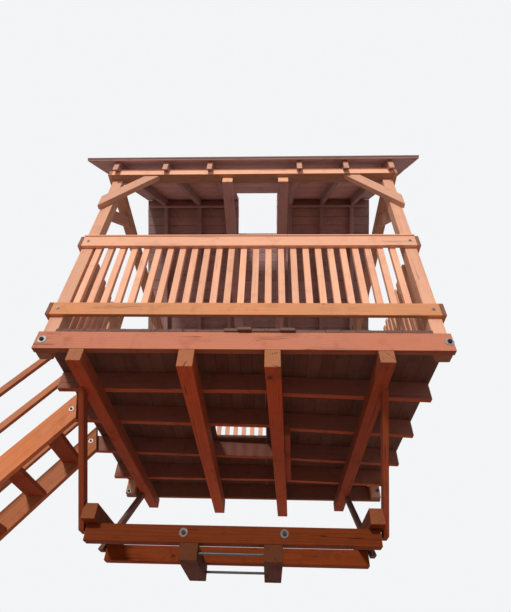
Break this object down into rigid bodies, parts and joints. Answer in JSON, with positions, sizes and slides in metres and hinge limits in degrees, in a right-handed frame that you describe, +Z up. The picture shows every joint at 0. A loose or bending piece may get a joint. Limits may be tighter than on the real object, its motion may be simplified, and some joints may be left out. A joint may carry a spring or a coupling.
{
  "type": "tree house",
  "caption": "Open timber tree house: railed square deck under a steep gable roof, on bearers and struts from a collar clamped round the trunk, with a side stair.",
  "frame": {"origin": "on the back face of the collar's front beam, which bears on the trunk, in the middle of the trunk's width and of the beam's height", "axes": "+X to the right along the ridge, +Y from the front to the back and out of the bearing face, +Z up"},
  "size_m": [4.6534, 2.98, 5.7159],
  "materials": {
    "pale_timber": "planed, weathered pale",
    "orange_timber": "planed, warmer board",
    "beam_timber": "sawn, stained",
    "dark_timber": "sawn, in the weather's shade",
    "collar_timber": "sawn, rough",
    "deck_timber": "grey weathered boards",
    "roof_timber": "boards, dull",
    "stair_timber": "planed, stained",
    "tread_timber": "sawn, stained",
    "zinc_steel": "zinc plated"
  },
  "bodies": {
    "root": {"collar_beam_front": "collar_timber", "collar_beam_rear": "collar_timber", "collar_side_beams": "collar_timber", "trunk_blocks": "collar_timber", "clamping_rods": "zinc_steel", "outer_bearers": "dark_timber", "left_inner_bearer": "dark_timber", "right_inner_bearer": "dark_timber", "bearer_splice": "dark_timber", "front_struts": "dark_timber", "rear_struts": "dark_timber", "deck_beam_front": "beam_timber", "deck_beam_rear": "beam_timber", "left_joists": "dark_timber", "right_joists": "dark_timber", "deck_left": "deck_timber", "deck_right": "deck_timber", "deck_front": "deck_timber", "deck_rear": "deck_timber", "corner_posts": "pale_timber", "roof_beam_front": "pale_timber", "roof_beam_rear": "pale_timber", "side_plates": "pale_timber", "tie_beams": "roof_timber", "front_knees": "pale_timber", "rear_knees": "pale_timber", "side_knees": "pale_timber", "front_rafters": "roof_timber", "rear_rafters": "roof_timber", "ridge_board": "roof_timber", "roof_slope_front": "roof_timber", "roof_slope_rear": "roof_timber", "rail_caps": "pale_timber", "front_top_rail": "pale_timber", "front_lower_rail": "orange_timber", "rear_top_rail": "pale_timber", "rear_lower_rail": "orange_timber", "right_top_rail": "pale_timber", "right_lower_rail": "orange_timber", "left_top_rails": "pale_timber", "left_lower_rails": "orange_timber", "front_balusters": "pale_timber", "rear_balusters": "pale_timber", "left_front_balusters": "pale_timber", "left_rear_balusters": "pale_timber", "right_balusters": "pale_timber", "stringer_front": "stair_timber", "stringer_rear": "stair_timber", "treads": "tread_timber", "newel_posts": "pale_timber", "stair_posts": "stair_timber", "handrails": "stair_timber"}
  },
  "joints": []
}
